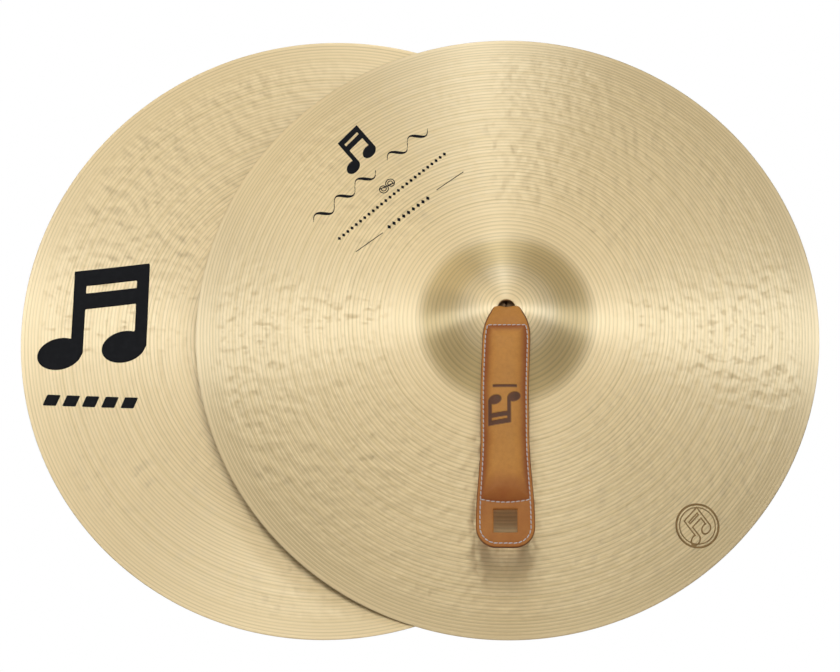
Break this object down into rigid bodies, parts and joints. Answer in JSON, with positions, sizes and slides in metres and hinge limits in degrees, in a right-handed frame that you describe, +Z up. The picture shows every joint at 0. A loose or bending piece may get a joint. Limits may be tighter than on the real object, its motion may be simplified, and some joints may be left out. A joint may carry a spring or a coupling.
{
  "type": "hand cymbals",
  "caption": "Pair of bronze hand cymbals held face to face, each with a padded leather hand strap that folds and turns in the bore of its bell.",
  "frame": {"origin": "the mouth of the rear cymbal's bore, at the top of its bell, where its strap comes out", "axes": "+Y along the cymbals' axis, out of the rear bell; +X towards the side where the front cymbal stands out past the rear one; +Z up, so that the straps hang along -Z"},
  "size_m": [0.5223, 0.1055, 0.4064],
  "materials": {
    "bronze": "lathed and hammered, bright lacquer",
    "tan_leather": "smooth grain, burnished edges",
    "raw_leather": "plain flesh side",
    "foam": "soft padding",
    "thread": "waxed thread"
  },
  "bodies": {
    "rear_cymbal": {"rear_cymbal": "bronze", "rear_washer": "raw_leather"},
    "rear_swivel": {"rear_strap_neck": "tan_leather", "rear_lash_knot": "raw_leather", "rear_lash_tails": "raw_leather"},
    "rear_strap": {"rear_strap_back": "tan_leather", "rear_strap_pad": "foam", "rear_strap_face": "tan_leather", "rear_edge_seam": "thread", "rear_cross_seams": "thread"},
    "front_cymbal": {"front_cymbal": "bronze", "front_washer": "raw_leather"},
    "front_swivel": {"front_strap_neck": "tan_leather", "front_lash_knot": "raw_leather", "front_lash_tails": "raw_leather"},
    "front_strap": {"front_strap_back": "tan_leather", "front_strap_pad": "foam", "front_strap_face": "tan_leather", "front_edge_seam": "thread", "front_cross_seams": "thread"}
  },
  "joints": [
    {"name": "part_cymbals", "type": "slide", "parent": "rear_cymbal", "child": "front_cymbal", "axis": [0, -1, 0], "range_m": [0, 0.35]},
    {"name": "rear_strap_turn", "type": "hinge", "parent": "rear_cymbal", "child": "rear_swivel", "pos_m": [0, 0, 0], "axis": [0, 1, 0], "continuous": true},
    {"name": "rear_strap_fold", "type": "hinge", "parent": "rear_swivel", "child": "rear_strap", "pos_m": [0, 0.003, -0.0032], "axis": [1, 0, 0], "range_deg": [-5, 120]},
    {"name": "front_strap_turn", "type": "hinge", "parent": "front_cymbal", "child": "front_swivel", "pos_m": [0.1159, -0.0883, 0], "axis": [0, -1, 0], "continuous": true},
    {"name": "front_strap_fold", "type": "hinge", "parent": "front_swivel", "child": "front_strap", "pos_m": [0.1159, -0.0913, -0.0032], "axis": [-1, 0, 0], "range_deg": [-5, 120]}
  ]
}
